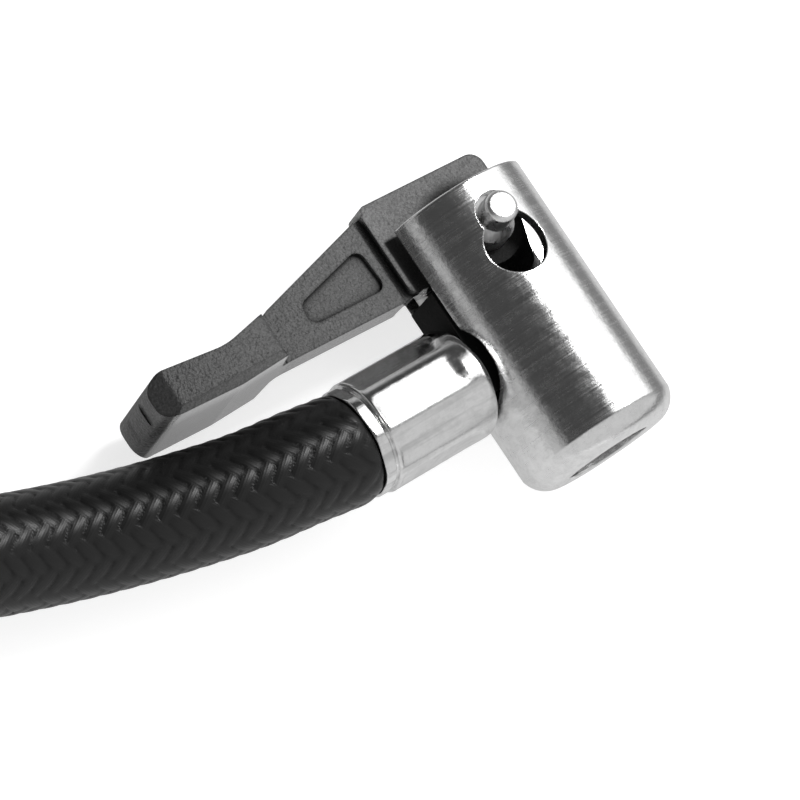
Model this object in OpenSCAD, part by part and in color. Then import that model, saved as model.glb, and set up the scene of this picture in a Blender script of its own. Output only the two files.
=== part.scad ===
// Clip-on valve chuck of a portable tyre inflator, with its crimped braided hose and swivel end.
// Millimetres. The chuck lies on its side: its barrel runs along +Y from the valve mouth at the
// origin, the hose leaves towards -X, and the lever's hinge pin stands along Z.
// The chuck's pieces are drawn upright, barrel along Z, and laid down by lay_down().

/* [Barrel] */
// Outer diameter of the barrel
barrel_d = 18; // [16:0.5:22]
// Wall of the barrel
barrel_wall = 1.2; // [1:0.1:1.4]
// Height of the barrel's open rim above the hinge axis
rim_above = 4.4; // [4:0.1:6]
// Thickness of the barrel's floor round the mouth
floor_t = 1.8; // [1.2:0.1:2.2]
// Outer radius between the barrel's floor and its side
floor_round = 2.9; // [2:0.1:3.4]
// Diameter of the valve mouth
mouth_d = 9.6; // [8.6:0.2:11]
// Diameter of the wide lobe of each side keyhole
lobe_d = 6.9; // [6.8:0.1:7.4]
// Depth of the wide lobe's centre below the hinge axis
lobe_drop = 3.6; // [3.3:0.1:4]
// Width of the narrow part of each side keyhole
neck_w = 4.6; // [4.5:0.1:5.2]
// Width of the slot that the lever's arm and the hose stem pass through
rear_slot_w = 6.9; // [6.8:0.1:7.4]
// Width of the slot that the lever's head swings into
front_slot_w = 4.8; // [4.6:0.1:5.6]

/* [Lever] */
// Distance from the hinge to the cam's face with the lever closed
cam_closed = 7.1; // [7:0.05:7.2]
// Distance from the hinge to the cam's face with the lever open
cam_open = 5.9; // [5.7:0.05:6]
// Thickness of the lever's arm and head
lever_t = 4; // [3.4:0.1:4.2]
// Diameter of the lever's hub
hub_d = 8.4; // [7.8:0.1:8.5]
// Width of the thumb pad
pad_w = 14; // [11:0.5:15]
// Distance from the hinge to the pad's tip
lever_reach = 42.1; // [40:0.1:43]
// Distance from the hinge to the back of the lever's head
head_x = 9.5; // [9.3:0.1:10]
// Height of the lever's head above the hinge axis
head_h = 8.5; // [7.6:0.1:9]
// Distance from the hinge to the end of the arm, where the pad starts
arm_x = 24.5; // [23:0.1:25.5]
// Width of the groove round the lever's neck
groove_w = 1.2; // [0.8:0.1:1.3]
// Depth of that groove on each side
groove_depth = 1; // [0.5:0.1:1.2]
// Depth of the recessed panel on each side of the arm
panel_depth = 0.5; // [0.3:0.1:0.8]

/* [Hinge pin] */
// Diameter of the pin's thick middle
pin_mid_d = 5.4; // [5:0.1:6]
// Diameter of the pin's ends
pin_end_d = 3.6; // [3.2:0.1:4]
// How far each end of the pin stands out of the barrel
pin_out = 1.55; // [1:0.05:2]
// Rounding of the pin's ends
pin_round = 0.5; // [0.3:0.1:0.8]
// Length of the cone between the pin's middle and its ends
pin_cone_l = 1.3; // [0.6:0.1:1.4]

/* [Plunger and seal] */
// Length of the rubber valve seal
seal_h = 7; // [6.6:0.1:7.2]
// Bore of the rubber valve seal
seal_bore_d = 8; // [7.8:0.1:8.4]
// Thickness of the washer above the seal
washer_t = 0.7; // [0.5:0.1:0.8]
// Diameter of the valve depressor's tip
depressor_d = 2.2; // [1.8:0.1:2.6]
// Length of the plunger between the washer and the cam
plunger_h = 8.8; // [8:0.1:9.6]
// Height of the hose stem's axis above the plunger's lower face
stem_up = 4.1; // [3.8:0.1:4.6]
// Bore of the hose stem and of the far nipple
air_bore_d = 3.4; // [2.4:0.2:3.8]
// Diameter of the stem's collar
collar_d = 9; // [8.4:0.1:9.2]

/* [Hose] */
// Outer diameter of the braided hose
hose_d = 11.8; // [11.4:0.1:12]
// Bore of the hose
hose_bore_d = 6.5; // [6.3:0.1:6.7]
// Outer diameter of the crimped ferrules
ferrule_d = 12.3; // [12.1:0.1:12.8]
// Length of the crimped ferrules
ferrule_l = 14.8; // [13.4:0.1:14.8]
// How far a ferrule's end reaches over the collar that it seats on
ferrule_skirt = 1; // [0.6:0.1:1]
// Radius of the coil at the middle of the hose
coil_r = 65; // [62:1:71]
// Degrees that the coiled hose turns
coil_turn = 450; // [435:5:450]
// Width of the coil's tie
tie_w = 14; // [8:1:18]
// Thickness of the coil's tie
tie_t = 0.8; // [0.5:0.1:0.8]

/* [Swivel end] */
// Diameter of the swivel nut
nut_d = 13; // [12.4:0.1:13]
// Length of the swivel nut
nut_l = 12.1; // [11:0.1:14]
// Bore of the swivel nut's threaded part
nut_bore_d = 9; // [8.8:0.1:9.4]
// Diameter of the nipple's neck that the nut turns on
nipple_neck_d = 7; // [6.4:0.1:7.2]

/* [Hidden] */
$fn = 96;

// Clearances
run_gap = 0.05;
slide_gap = 0.3;
seat_gap = 0.05;
eps = 0.01;

// Stack inside the barrel, from its floor up to its rim
seal_z = floor_t + 0.2;
washer_z = seal_z + seal_h + seat_gap;
plunger_z = washer_z + washer_t + seat_gap;
stem_z = plunger_z + stem_up;
plunger_top = plunger_z + plunger_h;
hinge_z = plunger_top + slide_gap + cam_closed;
barrel_h = hinge_z + rim_above;

// Barrel, worked out
barrel_r = barrel_d / 2;
bore_r = barrel_r - barrel_wall;
hinge_travel = cam_closed - cam_open - 0.1;
front_slot_z = hinge_z - cam_open - 0.6;
lobe_z = hinge_z - lobe_drop;
hole_r = collar_d / 2 + 0.4;

// Lever stations: x out from the hinge, h above its axis and low below it
head_front_h = 8.05;
neck_x = head_x + groove_w;
neck_h = 7.5;
arm_h = 3.8;
waist_x = arm_x + 1.8;
waist_h = 3.1;
dish_x = 32.6;
dish_h = 1.8;
tip_h = 2.9;
pad_low = 2;
pad_mid_low = 2.3;
arm_end_low = 1.95;
arm_low = 2.45;
head_low = 2.2;
heel_x = 6.4;
cam_heel_x = 4.8;
cam_heel_low = 4.8;
cam_toe_x = 4.5;
cam_toe_low = 5.1;
panel_near_x = 12;
panel_far_x = 21.1;
panel_near_h = 4.9;
panel_far_h = 2.7;

// Plunger, hub and pin, worked out
plunger_r = bore_r - slide_gap;
hub_l = 2 * sqrt(pow(plunger_r, 2) - pow(hub_d / 2, 2));
pin_mid_l = hub_l + 0.8;
pin_l = barrel_d + 2 * pin_out;
key_w = rear_slot_w - 2 * 0.35;
key_x = barrel_r - 0.4;
key_top = hinge_z - 3.1;
spigot_d = 6;
stem_end_x = 2;
depressor_body_d = 4.4;
depressor_seat = 2.9;

// Stem and ferrule stations, from the barrel outwards along -X
gasket_t = 0.8;
gasket_x = key_x + seat_gap;
collar_x = gasket_x + gasket_t + seat_gap;
collar_t = 0.7;
ferrule_x = collar_x + collar_t + seat_gap - ferrule_skirt;
hose_x = ferrule_x + ferrule_l;
hose_r = hose_d / 2;
braid_t = 0.65;
crimped_r = ferrule_d / 2 - 0.8;
liner_r = crimped_r - braid_t - seat_gap;
barb_r = hose_bore_d / 2 - seat_gap;
end_wall = 1.4;
cup_l = ferrule_l - ferrule_skirt - end_wall;

// Heights: the pin's lower end stands on the surface
surface_z = -pin_l / 2;
low_z = surface_z + tie_t + 0.1 + hose_r;
layer_h = hose_d + 0.55;
high_z = low_z + layer_h;

// Route of the hose from the chuck to the coil
run_points = [
  [-hose_x, stem_z, 0], [-30, 14.6, -0.2], [-36, 15.4, -0.7], [-42, 16.7, -1.2],
  [-48, 18.2, -1.6], [-54, 19.9, -1.8], [-60, 21.7, -1.4], [-66, 23.5, -0.4],
  [-72, 25.4, 1], [-78, 27.3, 2.6], [-84, 29.2, 4.2], [-90, 31.1, 5.7],
  [-96, 33, 7], [-102, 34.9, 7.9], [-108, 36.8, high_z - 0.1], [-114, 38.7, high_z]
];
run_end = run_points[len(run_points) - 1];
lead_in = unit(run_end - [-108, 36.8, high_z]);
coil_side = [-lead_in.y, lead_in.x, 0] * -1;
coil_start = run_end + lead_in * hose_d;
coil_centre = coil_start + coil_side * coil_r;
drop_from = 120;
drop_to = 330;
coil_step = 15;

// Where the coiled hose stops, and the way it points there
coil_stop = coil_point(coil_turn);
stop_way = coil_way(coil_turn);
hose_stop = coil_stop + stop_way * hose_d;
stop_angle = atan2(stop_way.y, stop_way.x);

// Swivel end stations, from the hose's end outwards
far_collar_u = cup_l + end_wall + seat_gap;
far_collar_t = 0.8;
nut_u = far_collar_u + far_collar_t + slide_gap;
nut_lip_t = 2.7;
flange_u = nut_u + nut_lip_t + 0.35;
flange_t = 1.5;
gasket_u = flange_u + flange_t + seat_gap;
far_gasket_t = 1.2;
thread_u = gasket_u + far_gasket_t + seat_gap;

function unit(v) = v / norm(v);
function ease(t) = t * t * (3 - 2 * t);
function clamp01(t) = max(0, min(1, t));

// Centre line of the coiled hose: the first turn lies on top and drops to the second layer.
function coil_height(a) = high_z - layer_h * ease(clamp01((a - drop_from) / (drop_to - drop_from)));
function coil_arm(a) = -coil_side * cos(a) + lead_in * sin(a);
function coil_point(a) = [
  coil_centre.x + coil_r * coil_arm(a).x,
  coil_centre.y + coil_r * coil_arm(a).y,
  coil_height(a)
];
function coil_way(a) = coil_side * sin(a) + lead_in * cos(a);

function coil_points() = concat(
  [run_end],
  [for (a = [0:coil_step:coil_turn]) coil_point(a)],
  [hose_stop]
);

// Least gap between stretches of the coiled hose that aren't neighbours
gap_path = concat(
  [for (i = [0:len(run_points) - 2]) each [run_points[i], (run_points[i] + run_points[i + 1]) / 2]],
  [for (a = [0:3:coil_turn]) coil_point(a)],
  [for (t = [0.2:0.2:1]) coil_stop + t * (hose_stop - coil_stop)]
);
apart = ceil(3 * hose_d / 3);
coil_gap = min([
  for (i = [0:len(gap_path) - 1 - apart])
    for (j = [i + apart:len(gap_path) - 1])
      norm(gap_path[i] - gap_path[j])
]) - hose_d;
echo(coil_gap = coil_gap);

// Direction of a path at each of its points
function path_way(p, i) = unit(
  i == 0 ? p[1] - p[0] :
  i == len(p) - 1 ? p[i] - p[i - 1] :
  unit(p[i] - p[i - 1]) + unit(p[i + 1] - p[i])
);

// One closed tube swept along a path that never runs straight up
module swept_tube(path, r, sides, first_way, last_way) {
  n = len(path);
  rings = [
    for (i = [0:n - 1])
      let (
        way = i == 0 ? first_way : i == n - 1 ? last_way : path_way(path, i),
        across = unit(cross([0, 0, 1], way)),
        up = cross(way, across)
      )
        for (k = [0:sides - 1])
          let (a = 360 * (k + 0.5) / sides)
            path[i] + r * (across * cos(a) + up * sin(a))
  ];
  walls = [
    for (i = [0:n - 2])
      for (k = [0:sides - 1])
        let (
          a = i * sides + k,
          b = i * sides + (k + 1) % sides
        )
          each [[a, a + sides, b], [b, a + sides, b + sides]]
  ];
  start_cap = [for (k = [1:sides - 2]) [0, k, k + 1]];
  last = (n - 1) * sides;
  stop_cap = [for (k = [1:sides - 2]) [last, last + k + 1, last + k]];
  polyhedron(points = rings, faces = concat(walls, start_cap, stop_cap));
}

// Outline whose corners [x, y, radius] are rounded
function corner(a, b, c, r, n = 5) =
  r == 0 ? [b] :
  let (
    u = unit(a - b),
    v = unit(c - b),
    half = acos(u * v) / 2,
    centre = b + unit(u + v) * r / sin(half),
    p = b + u * r / tan(half) - centre,
    q = b + v * r / tan(half) - centre,
    a0 = atan2(p.y, p.x),
    turn = atan2(p.x * q.y - p.y * q.x, p * q)
  )
    [for (i = [0:n]) centre + r * [cos(a0 + turn * i / n), sin(a0 + turn * i / n)]];
function xy(p) = [p.x, p.y];
function rounded(pts) = [
  for (i = [0:len(pts) - 1])
    each corner(
      xy(pts[(i + len(pts) - 1) % len(pts)]),
      xy(pts[i]),
      xy(pts[(i + 1) % len(pts)]),
      pts[i].z
    )
];

module lay_down() {
  rotate([-90, 0, 0]) children();
}

// A plate in the upright X-Z plane, centred on Y
module upright_plate(pts, t) {
  rotate([90, 0, 0]) translate([0, 0, -t / 2]) linear_extrude(t) polygon(rounded(pts));
}

// A revolve about the upright Y axis, from a half outline [distance along Y, radius]
module turned_along_y(pts, z) {
  translate([0, 0, z]) rotate([90, 0, 0]) rotate_extrude() polygon([for (p = pts) [p.y, p.x]]);
}

module rod_y(r, l, z) {
  translate([0, 0, z]) rotate([90, 0, 0]) cylinder(r = r, h = l, center = true);
}

// A rod along upright -X from x0 to x1, counted outwards from the barrel's axis
module rod_out(r, x0, x1, z) {
  translate([-x1, 0, z]) rotate([0, 90, 0]) cylinder(r = r, h = x1 - x0);
}

module side_keyholes() {
  long = barrel_d + 2;
  rod_y(lobe_d / 2, long, lobe_z);
  rod_y(neck_w / 2, long, hinge_z);
  translate([-neck_w / 2, -long / 2, lobe_z]) cube([neck_w, long, hinge_z - lobe_z]);
}

module rear_slot() {
  top = barrel_h + 1;
  deep = barrel_r + 1;
  for (lift = [0, hinge_travel]) rod_out(hole_r, barrel_r / 2, deep, stem_z + lift);
  translate([-deep, -hole_r, stem_z]) cube([deep - barrel_r / 2, 2 * hole_r, hinge_travel]);
  translate([-deep, -rear_slot_w / 2, stem_z])
    cube([deep - barrel_r / 2, rear_slot_w, top - stem_z]);
}

module front_slot() {
  translate([barrel_r / 2, -front_slot_w / 2, front_slot_z])
    cube([barrel_r, front_slot_w, barrel_h - front_slot_z + 1]);
}

module barrel_shell() {
  rim = 0.25;
  outline = rounded([
    [mouth_d / 2, 0, 0], [barrel_r, 0, floor_round], [barrel_r, barrel_h, rim],
    [bore_r, barrel_h, rim], [bore_r, floor_t, 0.8], [mouth_d / 2, floor_t, 0]
  ]);
  color("#c9ccd0") lay_down() difference() {
    rotate_extrude() polygon(outline);
    side_keyholes();
    rear_slot();
    front_slot();
  }
}

module hinge_pin() {
  end_r = pin_end_d / 2;
  mid_r = pin_mid_d / 2;
  cone_y = pin_mid_l / 2 + pin_cone_l;
  half = rounded([
    [-pin_l / 2, 0, 0], [-pin_l / 2, end_r, pin_round], [-cone_y, end_r, 0.4],
    [-pin_mid_l / 2, mid_r, 0.3], [pin_mid_l / 2, mid_r, 0.3], [cone_y, end_r, 0.4],
    [pin_l / 2, end_r, pin_round], [pin_l / 2, 0, 0]
  ]);
  color("#d4d6da") lay_down() turned_along_y(half, hinge_z);
}

// Side outline of the lever's head, arm and pad
function lever_outline() = [
  [cam_open, hinge_z - 0.8, 0.6], [cam_open, hinge_z + head_front_h, 1.6],
  [0.1 - head_x, hinge_z + head_h, 0.5], [-head_x, hinge_z + neck_h + 0.1, 0],
  [-neck_x, hinge_z + neck_h, 0], [-arm_x, hinge_z + arm_h, 0],
  [-waist_x, hinge_z + waist_h, 2], [-dish_x, hinge_z + dish_h, 8],
  [0.1 - lever_reach, hinge_z + tip_h, 1.8], [-lever_reach, hinge_z - pad_low, 1.3],
  [-dish_x - 0.4, hinge_z - pad_mid_low, 4],
  [0.9 - waist_x, hinge_z - arm_end_low, 4], [-neck_x - 0.3, hinge_z - arm_low, 0],
  [-head_x - 0.4, hinge_z - head_low, 0], [-heel_x, hinge_z - head_low, 0.6],
  [-cam_heel_x, hinge_z - cam_heel_low, 1], [-2, hinge_z - cam_closed, 1.2],
  [1, hinge_z - cam_closed, 1.5], [cam_toe_x, hinge_z - cam_toe_low, 1]
];

// Plan outline of the thumb pad, narrowing to the arm
function pad_plan() = [
  [1.1 - waist_x, lever_t / 2, 0.6], [-waist_x - 0.3, lever_t / 2, 0.8],
  [-waist_x - 1.1, pad_w / 2, 1],
  [2 - lever_reach, pad_w / 2, 0.8], [-lever_reach, pad_w / 2 - 1.9, 0.8],
  [-lever_reach, 1.9 - pad_w / 2, 0.8], [2 - lever_reach, -pad_w / 2, 0.8],
  [-waist_x - 1.1, -pad_w / 2, 1], [-waist_x - 0.3, -lever_t / 2, 0.8],
  [1.1 - waist_x, -lever_t / 2, 0.6]
];

// Room for the pad, with three shallow lobes down its tip
module tip_lobes() {
  lobe_r = 8;
  pitch = pad_w / 3;
  for (i = [-1:1])
    translate([lobe_r - lever_reach, i * pitch, hinge_z - 5]) cylinder(r = lobe_r, h = 12);
  translate([4 - lever_reach, -pad_w, hinge_z - 5]) cube([lever_reach - 4, 2 * pad_w, 12]);
}

// The pad's lower long edges, cut at 45 degrees
module pad_chamfers() {
  c = 1.2;
  for (side = [-1, 1])
    translate([-lever_reach - 1, side * pad_w / 2, hinge_z - pad_mid_low - 0.25])
      rotate([45, 0, 0])
        translate([0, -c / sqrt(2), -c / sqrt(2)])
          cube([lever_reach - arm_x, c * sqrt(2), c * sqrt(2)]);
}

module thumb_pad() {
  difference() {
    intersection() {
      upright_plate(lever_outline(), pad_w + 2);
      translate([0, 0, hinge_z - 5]) linear_extrude(12) polygon(rounded(pad_plan()));
      tip_lobes();
    }
    pad_chamfers();
  }
}

// Grooves down both sides of the neck, which turn under the head's rounded lower corner
module neck_grooves() {
  deep = lever_t / 2 - groove_depth;
  corner = 1.2;
  head_side = groove_w - neck_x - 0.25;
  for (side = [-1, 1])
    translate([head_side, side > 0 ? deep : -deep - 5, hinge_z]) {
      translate([-groove_w, 0, -4]) cube([groove_w, 5, head_h + 5.5]);
      difference() {
        translate([-eps, 0, -4]) cube([corner + eps, 5, 4 - head_low + corner]);
        translate([corner, -1, corner - head_low]) rotate([-90, 0, 0]) cylinder(r = corner, h = 7);
      }
    }
}

module arm_panels() {
  panel = [
    [-panel_near_x - 0.1, hinge_z + panel_near_h, 1], [0.2 - panel_near_x, hinge_z - 0.2, 1],
    [-panel_far_x - 0.2, hinge_z + 0.1, 1.2], [0.2 - panel_far_x, hinge_z + panel_far_h, 1]
  ];
  for (side = [-1, 1])
    translate([0, side * (lever_t / 2 + 1 - panel_depth), 0]) upright_plate(panel, 2);
}

module clip_lever() {
  color("#26272a") lay_down() difference() {
    union() {
      difference() {
        upright_plate(lever_outline(), lever_t);
        neck_grooves();
        arm_panels();
      }
      thumb_pad();
      rod_y(hub_d / 2, hub_l, hinge_z);
    }
    rod_y(pin_mid_d / 2 + run_gap, hub_l + 2, hinge_z);
  }
}

// Key that fills the barrel's rear slot: it guides the barrel and carries the hose stem
module guide_key() {
  stem_low = stem_z - 3;
  cam_side = cam_closed + 0.25;
  translate([-key_x, -key_w / 2, stem_low])
    cube([key_x - 1, key_w, plunger_top - stem_low]);
  translate([-key_x, -key_w / 2, stem_low])
    cube([key_x - cam_side, key_w, key_top - stem_low]);
}

module plunger_core() {
  color("#1c1c1e") lay_down() difference() {
    union() {
      translate([0, 0, plunger_z]) cylinder(r = plunger_r, h = plunger_top - plunger_z);
      guide_key();
    }
    rod_out(spigot_d / 2 + seat_gap, stem_end_x - 1, barrel_r + 1, stem_z);
    translate([0, 0, plunger_z - 1])
      cylinder(r = depressor_body_d / 2 + seat_gap, h = 1 + depressor_seat);
    translate([0, 0, plunger_z]) cylinder(d = air_bore_d, h = stem_z - plunger_z);
  }
}

module valve_seal() {
  r = bore_r - 0.4;
  bore = seal_bore_d / 2;
  outline = [
    [bore + 0.7, 0], [r - 0.8, 0], [r, 0.8], [r, seal_h * 0.35], [r - 0.5, seal_h * 0.5],
    [r, seal_h * 0.65], [r, seal_h], [bore, seal_h], [bore, 0.8]
  ];
  color("#3a3a3c") lay_down() translate([0, 0, seal_z]) rotate_extrude() polygon(outline);
}

module seal_washer() {
  color("#b9a25c") lay_down() translate([0, 0, washer_z]) difference() {
    cylinder(r = bore_r - 0.5, h = washer_t);
    translate([0, 0, -1]) cylinder(r = depressor_body_d / 2 + slide_gap, h = washer_t + 2);
  }
}

// A stepped pin with two flats, past which the air flows to the valve
module depressor_pin() {
  tip_z = washer_z - 3;
  body_z = washer_z - 0.6;
  flat_w = 0.55;
  color("#c2a14a") lay_down() difference() {
    union() {
      translate([0, 0, tip_z]) cylinder(d = depressor_d, h = body_z - tip_z + eps);
      translate([0, 0, body_z])
        cylinder(d = depressor_body_d, h = plunger_z + depressor_seat - seat_gap - body_z);
    }
    for (side = [-1, 1])
      translate([side > 0 ? depressor_body_d / 2 - flat_w : -depressor_body_d / 2 - 1, -3, 0])
        cube([1 + flat_w, 6, barrel_h]);
  }
}

// Ridges that hold the hose, along local +Z from z0 to z1
module barbs(z0, z1, core_r) {
  count = 4;
  pitch = (z1 - z0) / count;
  rotate_extrude() polygon(concat(
    [[0, z0]],
    [for (i = [0:count - 1]) each [[core_r, z0 + i * pitch], [barb_r, z0 + (i + 0.85) * pitch]]],
    [[core_r, z1], [0, z1]]
  ));
}

// Local +Z runs from the hose's end face towards the chuck
module at_chuck() {
  translate([-hose_x, stem_z, 0]) rotate([0, 90, 0]) children();
}

// Local +Z runs from the hose's far end face towards the nut
module at_far_end() {
  translate(hose_stop) rotate([0, 0, stop_angle]) rotate([0, 90, 0]) children();
}

module hose_stem() {
  core_r = barb_r - 0.35;
  end_u = hose_x - stem_end_x;
  color("#c9ccd0") at_chuck() difference() {
    union() {
      barbs(1, cup_l, core_r);
      translate([0, 0, cup_l - eps]) cylinder(r = core_r, h = end_wall + 2 * seat_gap);
      translate([0, 0, hose_x - collar_x - collar_t]) cylinder(d = collar_d, h = collar_t);
      translate([0, 0, hose_x - collar_x - eps])
        cylinder(d = spigot_d, h = collar_x - stem_end_x + eps);
    }
    translate([0, 0, -1]) cylinder(d = air_bore_d, h = end_u + 2);
  }
}

module stem_gasket() {
  color("#1a1a1a") at_chuck() translate([0, 0, hose_x - gasket_x - gasket_t]) difference() {
    cylinder(d = collar_d - 0.4, h = gasket_t);
    translate([0, 0, -1]) cylinder(d = spigot_d + 2 * seat_gap, h = gasket_t + 2);
  }
}

// A cup crimped to eight flats between its rounded shoulder and its lip, lip at z = 0
module ferrule() {
  r = ferrule_d / 2;
  lip_l = 1.3;
  flat_r = r - 0.3;
  flat_end = ferrule_l - 3.4;
  body = rounded([
    [0, lip_l + 0.25, 0], [r, lip_l + 0.25, 0.2], [r, ferrule_l, 1.3], [0, ferrule_l, 0]
  ]);
  difference() {
    union() {
      intersection() {
        rotate_extrude() polygon(body);
        union() {
          rotate([0, 0, 15]) cylinder(r = flat_r / cos(22.5), h = flat_end, $fn = 8);
          translate([0, 0, flat_end - eps]) cylinder(r = r + 1, h = 4);
        }
      }
      cylinder(r = r - 0.25, h = lip_l);
      cylinder(r = r - 0.5, h = lip_l + 1);
    }
    translate([0, 0, -1]) cylinder(r = crimped_r, h = 1 + cup_l);
    cylinder(r = barb_r - 0.35 + seat_gap, h = ferrule_l + 1);
    translate([0, 0, cup_l + end_wall]) cylinder(r = collar_d / 2 + 0.15, h = ferrule_skirt + 1);
  }
}

module chuck_ferrule() {
  color("#d0d3d7") at_chuck() ferrule();
}

module far_ferrule() {
  color("#d0d3d7") at_far_end() ferrule();
}

module hose_sleeve(inner_r, outer_r) {
  difference() {
    cylinder(r = outer_r, h = cup_l - seat_gap);
    translate([0, 0, -1]) cylinder(r = inner_r, h = ferrule_l);
  }
}

module chuck_liner_end() {
  color("#2b2b2b") at_chuck() hose_sleeve(hose_bore_d / 2, liner_r);
}

module chuck_braid_end() {
  color("#17181a") at_chuck() hose_sleeve(liner_r + seat_gap, crimped_r - seat_gap);
}

module far_liner_end() {
  color("#2b2b2b") at_far_end() hose_sleeve(hose_bore_d / 2, liner_r);
}

module far_braid_end() {
  color("#17181a") at_far_end() hose_sleeve(liner_r + seat_gap, crimped_r - seat_gap);
}

module hose_run() {
  color("#1b1c1e") swept_tube(run_points, hose_r, 12, [-1, 0, 0], lead_in);
}

module hose_coil() {
  color("#1b1c1e") swept_tube(coil_points(), hose_r, 8, lead_in, stop_way);
}

// A strap round both layers, halfway along where they lie on each other
module coil_tie() {
  tie_at = (coil_turn - 360) / 2;
  arm = coil_arm(tie_at);
  in_w = hose_r + 0.9;
  low = low_z - hose_r - 0.1;
  high = high_z + hose_r + 0.1;
  window = [[-in_w, low, 5], [in_w, low, 5], [in_w, high, 5], [-in_w, high, 5]];
  outside = [
    [-in_w - tie_t, low - tie_t, 5 + tie_t], [in_w + tie_t, low - tie_t, 5 + tie_t],
    [in_w + tie_t, high + tie_t, 5 + tie_t], [-in_w - tie_t, high + tie_t, 5 + tie_t]
  ];
  color("#222326")
    translate([coil_point(tie_at).x, coil_point(tie_at).y, 0])
      rotate([0, 0, atan2(arm.y, arm.x)]) rotate([90, 0, 0])
        translate([0, 0, -tie_w / 2]) linear_extrude(tie_w) difference() {
          polygon(rounded(outside));
          polygon(rounded(window));
        }
}

module far_nipple() {
  core_r = barb_r - 0.35;
  color("#c9ccd0") at_far_end() difference() {
    union() {
      barbs(1, cup_l, core_r);
      translate([0, 0, cup_l - eps]) cylinder(r = core_r, h = end_wall + 1);
      translate([0, 0, far_collar_u]) cylinder(d = nipple_neck_d + 1.6, h = far_collar_t);
      translate([0, 0, far_collar_u]) cylinder(d = nipple_neck_d, h = flange_u - far_collar_u + eps);
      translate([0, 0, flange_u]) cylinder(r = nut_bore_d / 2 - slide_gap, h = flange_t);
    }
    translate([0, 0, -1]) cylinder(d = air_bore_d, h = gasket_u + 2);
  }
}

module nipple_gasket() {
  color("#1a1a1a") at_far_end() translate([0, 0, gasket_u]) difference() {
    cylinder(r = nut_bore_d / 2 - slide_gap - 0.1, h = far_gasket_t);
    translate([0, 0, -1]) cylinder(d = air_bore_d + 0.4, h = far_gasket_t + 2);
  }
}

module swivel_nut() {
  outline = rounded([
    [0, 0, 0], [nut_d / 2, 0, 0.8], [nut_d / 2, nut_l, 0.6], [0, nut_l, 0]
  ]);
  color("#c9ccd0") at_far_end() translate([0, 0, nut_u]) difference() {
    rotate_extrude() polygon(outline);
    translate([0, 0, -1]) cylinder(r = nipple_neck_d / 2 + run_gap, h = nut_l);
    translate([0, 0, nut_lip_t]) cylinder(d = nut_bore_d + 0.8, h = thread_u - nut_u - nut_lip_t);
    translate([0, 0, nut_lip_t]) cylinder(d = nut_bore_d, h = nut_l);
  }
}

barrel_shell();
hinge_pin();
clip_lever();
plunger_core();
valve_seal();
seal_washer();
depressor_pin();
hose_stem();
stem_gasket();
chuck_ferrule();
chuck_liner_end();
chuck_braid_end();
hose_run();
hose_coil();
coil_tie();
far_liner_end();
far_braid_end();
far_ferrule();
far_nipple();
nipple_gasket();
swivel_nut();
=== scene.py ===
import math

import bmesh
import bpy
import numpy as np
from mathutils import Matrix, Vector


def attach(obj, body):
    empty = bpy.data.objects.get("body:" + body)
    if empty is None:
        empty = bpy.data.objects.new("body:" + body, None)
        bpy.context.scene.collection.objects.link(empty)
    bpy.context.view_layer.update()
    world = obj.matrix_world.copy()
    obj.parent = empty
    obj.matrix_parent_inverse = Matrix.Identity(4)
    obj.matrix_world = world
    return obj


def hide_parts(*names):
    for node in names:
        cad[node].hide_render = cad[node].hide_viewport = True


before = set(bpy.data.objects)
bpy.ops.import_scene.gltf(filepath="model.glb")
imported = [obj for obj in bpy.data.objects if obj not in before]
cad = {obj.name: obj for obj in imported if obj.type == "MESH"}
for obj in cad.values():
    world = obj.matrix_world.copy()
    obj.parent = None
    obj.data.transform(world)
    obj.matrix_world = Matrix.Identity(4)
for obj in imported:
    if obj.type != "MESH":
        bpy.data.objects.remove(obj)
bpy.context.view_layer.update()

scene = bpy.context.scene
scene.view_settings.view_transform = "Standard"
mm = 0.001  # sizes are written in mm, Blender wants metres
print("frame loaded,", len(cad), "solids")


# camera

shot = {
    "place": (-0.16671, -0.0264, 0.29892),  # metres
    "right": (0.77521, -0.54909, 0.31234),  # the camera's own directions
    "up": (0.44813, 0.82649, 0.34072),
    "back": (-0.44523, -0.12416, 0.88677),
    "lens": 149.75,  # mm
    "sensor": 36,
}


def addCamera():
    lens = bpy.data.cameras.new("shotCamera")
    lens.lens = shot["lens"]
    lens.sensor_width = shot["sensor"]
    camera = bpy.data.objects.new("shotCamera", lens)
    turn = Matrix((shot["right"], shot["up"], shot["back"])).transposed()
    camera.matrix_world = Matrix.Translation(shot["place"]) @ turn.to_4x4()
    scene.collection.objects.link(camera)
    scene.camera = camera


addCamera()
print("camera placed")


# shared helpers

# puts a piece on its body; it stands for the solids named last
def addPiece(name, mesh, body, material, stands=()):
    piece = bpy.data.objects.new(name, mesh)
    scene.collection.objects.link(piece)
    mesh.materials.clear()
    mesh.materials.append(material)
    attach(piece, body)
    if stands:
        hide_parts(*stands)
    return piece


# a solid keeps its shape and only gets a material
def dressNode(name, material):
    for place in cad[name].material_slots:
        place.link = "OBJECT"
        place.material = material


def meshFrom(build, name, smoothAngle=40):
    bmesh.ops.remove_doubles(build, verts=build.verts, dist=1e-7)
    bmesh.ops.recalc_face_normals(build, faces=build.faces)
    mesh = bpy.data.meshes.new(name)
    build.to_mesh(mesh)
    build.free()
    mesh.shade_smooth()
    if smoothAngle:
        mesh.set_sharp_from_angle(angle=math.radians(smoothAngle))
    return mesh


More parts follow.
